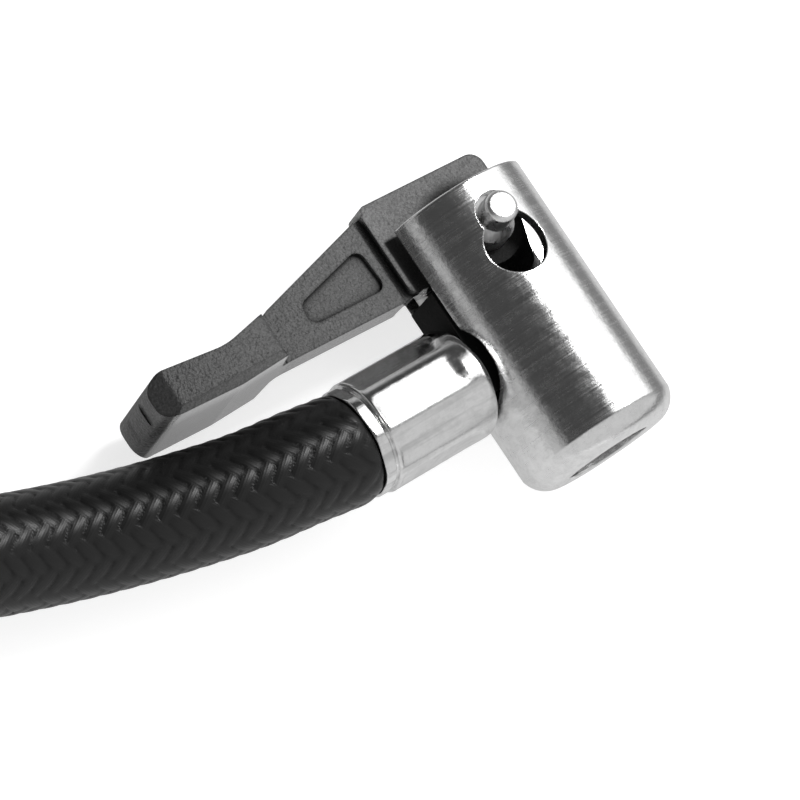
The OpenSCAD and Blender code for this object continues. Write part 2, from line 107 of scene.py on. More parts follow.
# runs modifiers over a mesh and keeps what comes out
def applied(mesh, steps, name, smoothAngle=40):
    holder = bpy.data.objects.new(name, mesh)
    scene.collection.objects.link(holder)
    for kind, values in steps:
        modifier = holder.modifiers.new(kind.lower(), kind)
        for key, value in values.items():
            setattr(modifier, key, value)
    graph = bpy.context.evaluated_depsgraph_get()
    result = bpy.data.meshes.new_from_object(holder.evaluated_get(graph))
    bpy.data.objects.remove(holder)
    result.name = name
    result.shade_smooth()
    if smoothAngle:
        result.set_sharp_from_angle(angle=math.radians(smoothAngle))
    return result


def tempObject(mesh):
    cutter = bpy.data.objects.new("cutter", mesh)
    scene.collection.objects.link(cutter)
    return cutter


def combined(mesh, tools, name):
    cutters = [(tempObject(tool), way) for way, tool in tools]
    steps = [
        ("BOOLEAN", {"operation": way, "solver": "EXACT", "object": cutter})
        for cutter, way in cutters
    ]
    result = applied(mesh, steps, name, 0)
    for cutter, way in cutters:
        bpy.data.objects.remove(cutter)
    return result


# the points of a fillet at a corner
def cornerArc(before, at, after, radius, count=7):
    at = Vector(at)
    if radius == 0:
        return [tuple(at)]
    u = (Vector(before) - at).normalized()
    v = (Vector(after) - at).normalized()
    half = math.acos(max(-1, min(1, u.dot(v)))) / 2
    centre = at + (u + v).normalized() * radius / math.sin(half)
    p = at + u * radius / math.tan(half) - centre
    q = at + v * radius / math.tan(half) - centre
    start = math.atan2(p.y, p.x)
    turn = math.atan2(p.x * q.y - p.y * q.x, p.dot(q))
    arc = []
    for i in range(count + 1):
        angle = start + turn * i / count
        arc.append(tuple(centre + Vector((math.cos(angle), math.sin(angle))) * radius))
    return arc


# a closed outline from (x, y, fillet) corners
def rounded(points, count=7):
    outline = []
    for i, (x, y, radius) in enumerate(points):
        before, after = points[i - 1][:2], points[(i + 1) % len(points)][:2]
        outline += cornerArc(before, (x, y), after, radius, count)
    return outline


def arcAt(height, radius, start, turn, steps):
    angles = [start + turn * k / steps for k in range(steps + 1)]
    return [(radius * math.cos(a), height + radius * math.sin(a)) for a in angles]


# turns a way along an axis, a radius and an angle into a point
def axisFrame(origin, axis, side):
    origin = Vector(origin) * mm
    axis, side = Vector(axis).normalized(), Vector(side).normalized()
    up = axis.cross(side)
    return lambda along, radius, angle: (
        origin + (axis * along + (side * math.cos(angle) + up * math.sin(angle)) * radius) * mm
    )


# a lathe; radiusAt changes the radius round the turn, for flats, flutes and threads
def turned(name, profile, place, around=128, closed=True, radiusAt=None):
    build = bmesh.new()
    rings = []
    for along, radius in profile:
        if radius < 1e-6:
            rings.append([build.verts.new(place(along, 0, 0))])
            continue
        ring = []
        for k in range(around):
            angle = 2 * math.pi * k / around
            r = radiusAt(along, radius, angle) if radiusAt else radius
            ring.append(build.verts.new(place(along, r, angle)))
        rings.append(ring)
    pairs = list(zip(rings, rings[1:])) + ([(rings[-1], rings[0])] if closed else [])
    for a, b in pairs:
        for k in range(around):
            n = (k + 1) % around
            if len(a) == 1 and len(b) == 1:
                break
            if len(a) == 1:
                build.faces.new((a[0], b[n], b[k]))
            elif len(b) == 1:
                build.faces.new((a[k], a[n], b[0]))
            else:
                build.faces.new((a[k], a[n], b[n], b[k]))
    return meshFrom(build, name)


def prism(name, outline, low, high, place):
    build = bmesh.new()
    floor = [build.verts.new(place(x, y, low)) for x, y in outline]
    roof = [build.verts.new(place(x, y, high)) for x, y in outline]
    build.faces.new(floor)
    build.faces.new(roof)
    for i in range(len(outline)):
        n = (i + 1) % len(outline)
        build.faces.new((floor[i], floor[n], roof[n], roof[i]))
    return meshFrom(build, name, 0)


def bevelled(mesh, name, width, segments, angle, hard=True):
    steps = [("BEVEL", {
        "width": width * mm, "segments": segments, "limit_method": "ANGLE",
        "angle_limit": math.radians(angle), "harden_normals": hard, "use_clamp_overlap": True,
    })]
    return applied(mesh, steps, name, 0 if hard else 40)


# three ways to lay an outline; in the chuck's drawing z runs up the barrel, along +Y here
def sideways(x, z, y):
    return Vector((x, z, -y)) * mm


def downwards(x, y, z):
    return Vector((x, z, -y)) * mm


def endways(y, z, x):
    return Vector((x, z, -y)) * mm


# shader groups

def startGroup(name, inputs, outputs):
    tree = bpy.data.node_groups.new(name, "ShaderNodeTree")
    for label, kind, value in inputs:
        socket = tree.interface.new_socket(label, in_out="INPUT", socket_type=kind)
        socket.default_value = value
    for label, kind in outputs:
        tree.interface.new_socket(label, in_out="OUTPUT", socket_type=kind)
    return tree, tree.nodes.new("NodeGroupInput"), tree.nodes.new("NodeGroupOutput")


# links another node's output to each socket, or sets it to a plain value
def feed(tree, made, inputs):
    for key, value in inputs.items():
        if hasattr(value, "is_output"):
            tree.links.new(value, made.inputs[key])
        else:
            made.inputs[key].default_value = value


def node(tree, kind, inputs=None, **settings):
    made = tree.nodes.new("ShaderNode" + kind)
    for key, value in settings.items():
        setattr(made, key, value)
    feed(tree, made, inputs or {})
    return made


def math2(tree, operation, a, b=0.0, c=0.0):
    return node(tree, "Math", {0: a, 1: b, 2: c}, operation=operation).outputs[0]


def noise(tree, place, scale, detail, rough):
    given = {"Vector": place, "Scale": scale, "Detail": detail, "Roughness": rough}
    return node(tree, "TexNoise", given)


def mapped(tree, value, low, high, toLow=0.0, toHigh=1.0, kind="SMOOTHSTEP"):
    made = node(
        tree, "MapRange",
        {"Value": value, "From Min": low, "From Max": high, "To Min": toLow, "To Max": toHigh},
        interpolation_type=kind,
    )
    return made.outputs["Result"]


markNoise = {"cloud": 900, "ripple": 1300, "cloudEdges": (0.38, 0.66)}  # scales per metre


# polishing marks drawn out along the piece, with haze and ripple
def makeStretchedMarks():
    tree, given, out = startGroup(
        "stretchedMarks",
        [
            ("Stretch", "NodeSocketVector", (1, 1, 1)),
            ("Contrast", "NodeSocketFloat", 1),
            ("Ripple", "NodeSocketFloat", 0.5),
            ("Streak", "NodeSocketFloat", 0.12),
        ],
        [(label, "NodeSocketFloat") for label in ("Marks", "Cloud", "Height")],
    )
    place = node(tree, "TexCoord").outputs["Object"]
    drawn = node(tree, "VectorMath", {0: place, 1: given.outputs["Stretch"]}, operation="MULTIPLY")
    fine = noise(tree, drawn.outputs[0], 1, 3, 0.6)
    cloud = noise(tree, place, markNoise["cloud"], 6, 0.7)
    ripple = noise(tree, place, markNoise["ripple"], 4, 0.62)
    centred = math2(tree, "SUBTRACT", fine.outputs["Fac"], 0.5)
    marks = math2(tree, "MULTIPLY_ADD", centred, given.outputs["Contrast"], 0.5)
    waved = math2(tree, "MULTIPLY", ripple.outputs["Fac"], given.outputs["Ripple"])
    feed(tree, out, {
        "Marks": marks,
        "Cloud": mapped(tree, cloud.outputs["Fac"], *markNoise["cloudEdges"]),
        "Height": math2(tree, "MULTIPLY_ADD", marks, given.outputs["Streak"], waved),
    })
    return tree


grainNoise = {"pits": 0.7, "tone": 4800, "toneEdges": (0.34, 0.68)}


# fine moulded grain; Size is one grain in mm
def makeMouldGrain():
    tree, given, out = startGroup(
        "mouldGrain",
        [("Size", "NodeSocketFloat", 0.2)],
        [("Height", "NodeSocketFloat"), ("Tone", "NodeSocketFloat")],
    )
    place = node(tree, "TexCoord").outputs["Object"]
    scale = math2(tree, "DIVIDE", 1000, given.outputs["Size"])
    fine = noise(tree, place, scale, 2, 0.6)
    pits = node(tree, "TexVoronoi", {"Vector": place, "Scale": scale}, feature="SMOOTH_F1")
    pitted = pits.outputs["Distance"]
    both = math2(tree, "MULTIPLY_ADD", pitted, grainNoise["pits"], fine.outputs["Fac"])
    broad = noise(tree, place, grainNoise["tone"], 3, 0.6)
    tone = mapped(tree, broad.outputs["Fac"], *grainNoise["toneEdges"])
    feed(tree, out, {"Height": both, "Tone": tone})
    return tree


# mask for the painted shade along the edges: 1 on the edges, 0 on the faces
def makeEdgeShadeMask():
    tree, given, out = startGroup(
        "edgeShadeMask",
        [("Radius", "NodeSocketFloat", 0.0003), ("Strength", "NodeSocketFloat", 4)],
        [("Mask", "NodeSocketFloat")],
    )
    soft = node(tree, "Bevel", {"Radius": given.outputs["Radius"]}, samples=4)
    flat = node(tree, "NewGeometry")
    same = node(
        tree, "VectorMath", {0: soft.outputs["Normal"], 1: flat.outputs["Normal"]},
        operation="DOT_PRODUCT",
    )
    bent = math2(tree, "SUBTRACT", 1.0, same.outputs["Value"])
    mask = node(tree, "Math", {0: bent, 1: given.outputs["Strength"]}, operation="MULTIPLY")
    mask.use_clamp = True
    feed(tree, out, {"Mask": mask.outputs[0]})
    return tree


# 1 where a surface lies open, 0 down in a groove; the lever gets painted shade where it is 0
def makeRecessShade():
    tree, given, out = startGroup(
        "recessShade",
        [
            ("Reach", "NodeSocketFloat", 0.0015),
            ("Low", "NodeSocketFloat", 0.5),
            ("High", "NodeSocketFloat", 0.9),
        ],
        [("Open", "NodeSocketFloat")],
    )
    reach = {"Distance": given.outputs["Reach"]}
    shade = node(tree, "AmbientOcclusion", reach, samples=6, only_local=True)
    shown = mapped(tree, shade.outputs["AO"], given.outputs["Low"], given.outputs["High"])
    feed(tree, out, {"Open": shown})
    return tree


stretchedMarks = makeStretchedMarks()
recessShade = makeRecessShade()
mouldGrain = makeMouldGrain()
edgeShadeMask = makeEdgeShadeMask()


def placed(tree, group, inputs):
    made = tree.nodes.new("ShaderNodeGroup")
    made.node_tree = group
    feed(tree, made, inputs)
    return made


def startMaterial(name):
    material = bpy.data.materials.new(name)
    material.use_nodes = True
    tree = material.node_tree
    return material, tree, tree.nodes["Principled BSDF"]


def blendColour(tree, factor, a, b):
    made = node(tree, "Mix", {0: factor, 6: a, 7: b}, data_type="RGBA")
    return made.outputs[2]


def blendNumber(tree, factor, a, b):
    return node(tree, "Mix", {0: factor, 2: a, 3: b}, data_type="FLOAT").outputs[0]


def raised(tree, height, strength, distance, softEdge=0):
    given = {"Height": height, "Strength": strength, "Distance": distance}
    if softEdge:
        given["Normal"] = node(tree, "Bevel", {"Radius": softEdge}, samples=6).outputs["Normal"]
    return node(tree, "Bump", given).outputs["Normal"]


def grey(value):
    return (value, value, value, 1)


# materials

chrome = {
    "light": grey(0.90),
    "dull": grey(0.80),  # in the hazy patches
    "stain": grey(0.30),  # in the deepest marks
    "contrast": 1.6,
    "stainEdges": (0.36, 0.78),
    "rough": (0.13, 0.24),
    "roughEdges": (0.25, 0.8),
    "haze": 0.08,  # roughness that the patches add
    "bump": 1.0,
    "markDepth": 0.000026,  # metres, as all depths and widths of finishes
    "softEdge": 0.0002,
}


def makeChrome(name, stretch, rough=None, ripple=1.0, streak=0.08, stain=0.0):
    material, tree, shader = startMaterial(name)
    low, high = rough or chrome["rough"]
    marks = placed(tree, stretchedMarks, {
        "Stretch": stretch, "Contrast": chrome["contrast"], "Ripple": ripple, "Streak": streak,
    })
    tone = blendColour(tree, marks.outputs["Cloud"], chrome["light"], chrome["dull"])
    stained = mapped(tree, marks.outputs["Marks"], *chrome["stainEdges"], 0, stain)
    fine = mapped(tree, marks.outputs["Marks"], *chrome["roughEdges"], low, high, "LINEAR")
    height, depth = marks.outputs["Height"], chrome["markDepth"]
    feed(tree, shader, {
        "Base Color": blendColour(tree, stained, tone, chrome["stain"]),
        "Metallic": 1,
        "Roughness": math2(tree, "MULTIPLY_ADD", marks.outputs["Cloud"], chrome["haze"], fine),
        "Normal": raised(tree, height, chrome["bump"], depth, chrome["softEdge"]),
    })
    return material


nylon = {
    "dark": grey(0.060),
    "light": grey(0.110),
    "edgeShade": grey(0.006),  # painted shade along the edges
    "edgeShadeWidth": 0.00045,
    "edgeShadeStrength": 5,
    "deep": grey(0.002),  # painted shade in the grooves, round the pin and inside the barrel
    "recess": {"Reach": 0.0016, "Low": 0.56, "High": 0.94},
    "grainSize": 0.30,
    "grainDepth": 0.0002,
    "bump": 0.6,
    "hinge": 0.026,  # the pin's height up the barrel, metres
    "fade": (-0.040, -0.014, 0.42, 0.92),  # painted shade, darker towards the pad, along x: from, to, tone there and there
    # painted light, brighter on the head, along x: from, to, tone there and there
    "head": (-0.0112, -0.0102, 1.0, 1.8),
    "shaft": (0.0054, 0.0072),  # round the pin it gets the painted shade
    "slot": (-0.0094, -0.0091, 0.0302, 0.0299),  # and inside the barrel it gets painted shadow: x, then y
    "under": (-0.86, -0.97),  # how far a face turns to -Y before it gets painted reflection in its colour, a glossier finish and calmer grain
    "tip": (-0.70, -0.97),  # and how far to -X before it gets painted light
    "paintedLightTone": 2.8,
    "rough": (0.8, 0.48),  # in the painted shade, open
    "glossyRough": 0.12,  # underneath, where hands polish it
    "specular": (0.5, 0.95),
    "wornGrain": 0.9,
}


def makeNylon(name):
    material, tree, shader = startMaterial(name)
    grain = placed(tree, mouldGrain, {"Size": nylon["grainSize"]})
    place = node(tree, "TexCoord").outputs["Object"]
    base = blendColour(tree, grain.outputs["Tone"], nylon["dark"], nylon["light"])
    # painted shade: the lever's edges darken to near black
    edgeShadeSize = {"Radius": nylon["edgeShadeWidth"], "Strength": nylon["edgeShadeStrength"]}
    edge = placed(tree, edgeShadeMask, edgeShadeSize)
    base = blendColour(tree, edge.outputs["Mask"], base, nylon["edgeShade"])
    flat = node(tree, "VectorMath", {0: place, 1: (1, 1, 0)}, operation="MULTIPLY")
    axis = (0, nylon["hinge"], 0)
    away = node(tree, "VectorMath", {0: flat.outputs[0], 1: axis}, operation="DISTANCE")
    outside = mapped(tree, away.outputs["Value"], *nylon["shaft"])
    along, high, _ = node(tree, "SeparateXYZ", {0: place}).outputs
    # painted shade darkens the pad and painted light brightens the head
    paintedPadShade = mapped(tree, along, *nylon["fade"], "LINEAR")
    fade = math2(tree, "MULTIPLY", paintedPadShade, mapped(tree, along, *nylon["head"]))
    # painted shadow where the lever sits inside the barrel's slot
    x0, x1, y0, y1 = nylon["slot"]
    inSlot = math2(tree, "MULTIPLY", mapped(tree, along, x0, x1), mapped(tree, high, y0, y1))
    # painted shade in grooves and recesses, round the pin and in the slot
    recess = placed(tree, recessShade, nylon["recess"])
    shown = math2(tree, "MULTIPLY", outside, recess.outputs["Open"])
    shown = math2(tree, "MULTIPLY", shown, math2(tree, "SUBTRACT", 1.0, inSlot))
    facing = node(tree, "TexCoord").outputs["Normal"]
    ahead, down, _ = node(tree, "SeparateXYZ", {0: facing}).outputs
    # painted reflection on faces turned to -Y, painted light on faces turned to -X
    under = mapped(tree, down, *nylon["under"])
    paintedLightMask = math2(tree, "ADD", under, mapped(tree, ahead, *nylon["tip"]))
    paintedLightGain = math2(tree, "MULTIPLY_ADD", paintedLightMask, nylon["paintedLightTone"], 1.0)
    fade = math2(tree, "MULTIPLY", fade, paintedLightGain)
    tone = node(tree, "VectorMath", {0: base, "Scale": fade}, operation="SCALE").outputs[0]
    matt = mapped(tree, shown, 0, 1, *nylon["rough"], "LINEAR")
    smoothed = math2(tree, "MULTIPLY", under, nylon["wornGrain"])
    calm = math2(tree, "SUBTRACT", 1.0, smoothed)
    height = math2(tree, "MULTIPLY", grain.outputs["Height"], calm)
    feed(tree, shader, {
        "Base Color": blendColour(tree, shown, nylon["deep"], tone),
        "Roughness": blendNumber(tree, under, matt, nylon["glossyRough"]),
        "Specular IOR Level": mapped(tree, under, 0, 1, *nylon["specular"], "LINEAR"),
        "Normal": raised(tree, height, nylon["bump"], nylon["grainDepth"]),
    })
    return material


shadedNylon = {
    "dark": grey(0.002), "light": grey(0.006), "rough": 0.7, "specular": 0.15,
    "grainSize": 0.3, "bump": 0.4, "grainDepth": 0.00005,
}
rubber = {
    "dark": grey(0.06), "light": grey(0.10), "rough": 0.6, "specular": 0.5,
    "grainSize": 0.3, "bump": 0.3, "grainDepth": 0.00003,
}


def makeGrained(name, look):
    material, tree, shader = startMaterial(name)
    grain = placed(tree, mouldGrain, {"Size": look["grainSize"]})
    feed(tree, shader, {
        "Base Color": blendColour(tree, grain.outputs["Tone"], look["dark"], look["light"]),
        "Roughness": look["rough"],
        "Specular IOR Level": look["specular"],
        "Normal": raised(tree, grain.outputs["Height"], look["bump"], look["grainDepth"]),
    })
    return material


brass = {
    "light": (0.78, 0.58, 0.25, 1),
    "dull": (0.60, 0.42, 0.16, 1),
    "marks": {"Stretch": (300, 9000, 300), "Contrast": 1.5},  # turned on a lathe
    "rough": (0.2, 0.8, 0.2, 0.4),
}


def makeBrass(name):
    material, tree, shader = startMaterial(name)
    marks = placed(tree, stretchedMarks, brass["marks"])
    feed(tree, shader, {
        "Base Color": blendColour(tree, marks.outputs["Cloud"], brass["light"], brass["dull"]),
        "Metallic": 1,
        "Roughness": mapped(tree, marks.outputs["Marks"], *brass["rough"], "LINEAR"),
    })
    return material


yarn = {
    "dark": grey(0.002),  # painted shade, down between the strands
    "light": grey(0.009),
    "lightFrom": (0.25, 0.95),
    "filaments": 5,  # ridges across one strand
    "filamentDepth": 0.00001,
    "bump": 0.55,
    "fuzzSize": 0.12,
    "fuzz": 0.6,
    "rough": (0.36, 0.30),
    "specular": 0.23,
    "sheen": 0.03,
    "sheenRough": 0.4,
}


def makeBraid(name):
    material, tree, shader = startMaterial(name)
    across = node(tree, "Attribute", attribute_name="across").outputs["Fac"]
    depth = node(tree, "Attribute", attribute_name="height").outputs["Fac"]
    grain = placed(tree, mouldGrain, {"Size": yarn["fuzzSize"]})
    wave = math2(tree, "SINE", math2(tree, "MULTIPLY", across, 2 * math.pi * yarn["filaments"]))
    ridge = math2(tree, "MULTIPLY_ADD", wave, 0.5, 0.5)
    fuzz = math2(tree, "MULTIPLY_ADD", grain.outputs["Height"], yarn["fuzz"], ridge)
    # painted shade: the colour darkens with depth between the strands
    lit = mapped(tree, depth, *yarn["lightFrom"])
    feed(tree, shader, {
        "Base Color": blendColour(tree, lit, yarn["dark"], yarn["light"]),
        "Roughness": mapped(tree, ridge, 0, 1, *yarn["rough"], "LINEAR"),
        "Specular IOR Level": yarn["specular"],
        "Sheen Weight": yarn["sheen"],
        "Sheen Roughness": yarn["sheenRough"],
        "Normal": raised(tree, fuzz, yarn["bump"], yarn["filamentDepth"]),
    })
    return material


webbing = {
    "dark": grey(0.018),
    "light": grey(0.06),
    "ribs": {"Scale": 420, "Distortion": 0.6, "Detail": 1},
    "rough": 0.8,
    "fuzzSize": 0.25,
    "fuzz": 0.4,
    "bump": 0.7,
    "ribDepth": 0.00012,
}


def makeWebbing(name):
    material, tree, shader = startMaterial(name)
    place = node(tree, "TexCoord").outputs["Object"]
    ribs = node(tree, "TexWave", {"Vector": place, **webbing["ribs"]}, bands_direction="Z")
    grain = placed(tree, mouldGrain, {"Size": webbing["fuzzSize"]})
    fuzz = grain.outputs["Height"]
    both = math2(tree, "MULTIPLY_ADD", fuzz, webbing["fuzz"], ribs.outputs["Fac"])
    feed(tree, shader, {
        "Base Color": blendColour(tree, ribs.outputs["Fac"], webbing["dark"], webbing["light"]),
        "Roughness": webbing["rough"],
        "Normal": raised(tree, both, webbing["bump"], webbing["ribDepth"]),
    })
    return material


barrelChrome = makeChrome("barrelChrome", (90, 7000, 90))
fittingChrome = makeChrome(
    "fittingChrome", (40, 700, 700), rough=(0.08, 0.20), ripple=0.6, streak=0.55, stain=0.42
)
pinChrome = makeChrome("pinChrome", (2500, 2500, 2500), rough=(0.24, 0.36))
leverNylon = makeNylon("leverNylon")
plungerNylon = makeGrained("plungerNylon", shadedNylon)
blackRubber = makeGrained("blackRubber", rubber)
bareBrass = makeBrass("bareBrass")
blackBraid = makeBraid("blackBraid")
tieWebbing = makeWebbing("tieWebbing")
print("materials made")


# hose

hose = {
    "diameter": 11.8,
    "exit": (-24.05, 13.9, 0),  # where it leaves the first ferrule
    "run": [
        (-24.05, 13.9, 0), (-30, 14.6, -0.2), (-36, 15.4, -0.7), (-42, 16.7, -1.2),
        (-48, 18.2, -1.6), (-54, 19.9, -1.8), (-60, 21.7, -1.4), (-66, 23.5, -0.4),
        (-72, 25.4, 1), (-78, 27.3, 2.6), (-84, 29.2, 4.2), (-90, 31.1, 5.7),
        (-96, 33, 7), (-102, 34.9, 7.9), (-108, 36.8, 8.5), (-114, 38.7, 8.6),
    ],
    "runEnds": (-6, 1.9, 0),  # the way it goes where the coil begins
    "coilRadius": 65,
    "coilTurn": 450,  # degrees
    "coilStep": 15,
    "layer": 12.35,  # the lower turn lies this far below
    "top": 8.6,
    "drop": (120, 330),  # degrees between which it goes down
    "spanSteps": 60,
    "mouth": 5.35,  # the ferrule's bore
    "seat": 0.05,
    "taper": 1.7,
    "pressed": 0.4,  # share of the braid's relief left under the ferrule
    "strands": 16,  # each way round
    "pitch": 2.02,
    "lift": 0.10,
    "dive": 1.2,
    "bulge": 0.17,
    "roundness": 0.98,
    "around": 144,
    "fineStep": 0.19,
    "coarseStep": 0.42,
    "fineTo": 128,  # mm of hose with the fine steps
}
leadIn = Vector(hose["runEnds"]).normalized()
coilSide = Vector((leadIn.y, -leadIn.x, 0))
runEnd = Vector(hose["run"][-1])
coilCentre = runEnd + leadIn * hose["diameter"] + coilSide * hose["coilRadius"]


def coilArm(angle):
    a = math.radians(angle)
    return -coilSide * math.cos(a) + leadIn * math.sin(a)


def coilPoint(angle):
    first, last = hose["drop"]
    t = max(0, min(1, (angle - first) / (last - first)))
    point = coilCentre + coilArm(angle) * hose["coilRadius"]
    point.z = hose["top"] - hose["layer"] * t * t * (3 - 2 * t)
    return point


stopAngle = math.radians(hose["coilTurn"])
stopWay = coilSide * math.sin(stopAngle) + leadIn * math.cos(stopAngle)
hoseStop = coilPoint(hose["coilTurn"]) + stopWay * hose["diameter"]
route = (
    [Vector(p) for p in hose["run"]]
    + [coilPoint(a) for a in range(0, hose["coilTurn"] + 1, hose["coilStep"])]
    + [hoseStop]
)


# one smooth curve through the points, with given ways at its ends
def smoothLine(points, firstWay, lastWay):
    p = np.array(points)
    ways = np.zeros_like(p)
    spans = np.linalg.norm(np.diff(p, axis=0), axis=1)
    for i in range(1, len(p) - 1):
        a, b = spans[i - 1], spans[i]
        ways[i] = ((p[i] - p[i - 1]) / a * b + (p[i + 1] - p[i]) / b * a) / (a + b)
    ways[0], ways[-1] = firstWay, lastWay
    line = []
    for i in range(len(p) - 1):
        t = np.linspace(0, 1, hose["spanSteps"], endpoint=False)[:, None]
        m, n = ways[i] * spans[i], ways[i + 1] * spans[i]
        line.append(
            (2 * t**3 - 3 * t**2 + 1) * p[i] + (t**3 - 2 * t**2 + t) * m
            + (-2 * t**3 + 3 * t**2) * p[i + 1] + (t**3 - t**2) * n
        )
    return np.vstack(line + [p[-1:]])


# relief of the strand that lies on top, and where across it a point is
def braidHeight(s, angle):
    turns = hose["strands"] * angle / (2 * math.pi)
    a, b = s / hose["pitch"] + turns, s / hose["pitch"] - turns
    i, j = np.floor(a), np.floor(b)
    overA = np.cos(math.pi / 2 * (b - i - 1))
    overB = np.cos(math.pi / 2 * (a - j + 2))

    def crown(f):
        middle = 2 * (f - np.floor(f)) - 1
        return np.sqrt(np.clip(1 - middle ** 2 * hose["roundness"], 0, 1))

    highA = hose["lift"] * (overA - 1) / 2 * hose["dive"] + hose["bulge"] * (crown(a) - 1)
    highB = hose["lift"] * (overB - 1) / 2 * hose["dive"] + hose["bulge"] * (crown(b) - 1)
    top = np.maximum(highA, highB)
    across = np.where(highA > highB, a - i, b - j)
    return top, across


def makeHose():
    line = smoothLine(route, (-1, 0, 0), tuple(stopWay))
    steps = np.linalg.norm(np.diff(line, axis=0), axis=1)
    walked = np.concatenate([[0], np.cumsum(steps)])
    total = walked[-1]
    fine = np.arange(0, hose["fineTo"], hose["fineStep"])
    rest = int((total - hose["fineTo"]) / hose["coarseStep"])
    s = np.concatenate([fine, np.linspace(hose["fineTo"], total, rest)])
    centre = np.stack([np.interp(s, walked, line[:, k]) for k in range(3)], 1)
    way = np.gradient(centre, s, axis=0)
    way /= np.linalg.norm(way, axis=1)[:, None]
    across = np.cross(np.tile([0, 0, 1.0], (len(s), 1)), way)
    across /= np.linalg.norm(across, axis=1)[:, None]
    up = np.cross(way, across)
    angle = np.linspace(0, 2 * math.pi, hose["around"], endpoint=False)
    sGrid, aGrid = np.meshgrid(s, angle, indexing="ij")
    relief, fibre = braidHeight(sGrid, aGrid)
    near = np.minimum(s, total - s)
    bite = np.sqrt(np.clip(1 - (1 - np.clip(near / hose["taper"], 0, 1)) ** 2, 0, 1))
    bitten = hose["diameter"] / 2 - hose["mouth"] + hose["seat"]
    radius = hose["mouth"] - hose["seat"] + bitten * bite
    pressed = hose["pressed"]
    full = radius[:, None] + relief * (pressed + (1 - pressed) * bite[:, None])
    sideShare, upShare = np.cos(aGrid)[:, :, None], np.sin(aGrid)[:, :, None]
    points = centre[:, None, :] + full[:, :, None] * (
        across[:, None, :] * sideShare + up[:, None, :] * upShare
    )
    rings, n = len(s), hose["around"]
    verts = np.vstack([points.reshape(-1, 3), centre[:1], centre[-1:]]) * mm
    ring, k = np.meshgrid(np.arange(rings - 1), np.arange(n), indexing="ij")
    nextK = (k + 1) % n
    quads = np.stack(
        [ring * n + k, ring * n + nextK, (ring + 1) * n + nextK, (ring + 1) * n + k], -1
    ).reshape(-1, 4)
    hub = rings * n
    ks = np.arange(n)
    last = (rings - 1) * n
    startCap = np.stack([np.full(n, hub), (ks + 1) % n, ks], 1)
    endCap = np.stack([np.full(n, hub + 1), last + ks, last + (ks + 1) % n], 1)
    mesh = bpy.data.meshes.new("braidedHose")
    mesh.vertices.add(len(verts))
    mesh.vertices.foreach_set("co", verts.astype(np.float32).ravel())
    loops = np.concatenate([quads.ravel(), startCap.ravel(), endCap.ravel()])
    sizes = np.concatenate([np.full(len(quads), 4), np.full(2 * n, 3)])
    mesh.loops.add(len(loops))
    mesh.loops.foreach_set("vertex_index", loops.astype(np.int32))
    mesh.polygons.add(len(sizes))
    starts = np.concatenate([[0], np.cumsum(sizes)[:-1]])
    mesh.polygons.foreach_set("loop_start", starts.astype(np.int32))
    mesh.update(calc_edges=True)
    mesh.validate()
    for name, values in (
        ("across", fibre),
        ("height", 1 + relief / (hose["lift"] + hose["bulge"])),
    ):
        layer = mesh.attributes.new(name, "FLOAT", "POINT")
        both = np.append(values.ravel(), [0.5, 0.5])  # the last two are the caps' middles
        layer.data.foreach_set("value", both.astype(np.float32))
    mesh.shade_smooth()
    return mesh, total


hoseMesh, hoseLength = makeHose()
hosePiece = addPiece(
    "braidedHose", hoseMesh, "chuck_core", blackBraid, ("hose_run", "hose_coil")
)
print("hose made, %.1f mm of free length" % hoseLength)


# tie round the coil

tie = {
    "width": 14, "thick": 0.8, "inside": 6.8, "corner": 5, "clear": 0.1,
    "flap": 0.55,  # the loose end on top
    "flapLip": 0.7,
    "flapInset": 0.4,
    "flapSink": 0.05,
    "flapSpan": (-0.55, -0.5, 0.62, 0.72),  # shares of the inside
    "edge": 0.18,
}


def makeTie():
    turn = (hose["coilTurn"] - 360) / 2
    centre, arm = coilPoint(turn), coilArm(turn)
    low = hose["top"] - hose["layer"] - hose["diameter"] / 2 - tie["clear"]
    high = hose["top"] + hose["diameter"] / 2 + tie["clear"]
    w, t, c = tie["inside"], tie["thick"], tie["corner"]
    inner = rounded([(-w, low, c), (w, low, c), (w, high, c), (-w, high, c)], 12)
    outside = [(-w - t, low - t), (w + t, low - t), (w + t, high + t), (-w - t, high + t)]
    outer = rounded([(x, z, c + t) for x, z in outside], 12)
    along = Vector((-arm.y, arm.x, 0))

    def place(x, z, y):
        return (Vector((centre.x, centre.y, 0)) + arm * x + Vector((0, 0, z)) + along * y) * mm

    build = bmesh.new()
    half = tie["width"] / 2
    rings = []
    for outline, y in ((inner, -half), (outer, -half), (outer, half), (inner, half)):
        rings.append([build.verts.new(place(x, z, y)) for x, z in outline])
    for a, b in zip(rings, rings[1:] + rings[:1]):
        for k in range(len(a)):
            n = (k + 1) % len(a)
            build.faces.new((a[k], a[n], b[n], b[k]))
    band = meshFrom(build, "band")
    root, rootTop, tipTop, tip = (w * share for share in tie["flapSpan"])
    base, roof = high + t - tie["flapSink"], high + t + tie["flap"]
    lip = high + t + tie["flap"] * tie["flapLip"]
    outline = [(root, base), (tip, base), (tip, lip), (tipTop, roof), (rootTop, roof)]
    inset = half - tie["flapInset"]
    flap = prism("flap", outline, -inset, inset, place)
    joined = combined(band, [("UNION", flap)], "coilTie")
    return bevelled(joined, "coilTie", tie["edge"], 2, 40, hard=False)


tiePiece = addPiece("coilTie", makeTie(), "chuck_core", tieWebbing, ("coil_tie",))
print("tie made")


# crimped ferrules

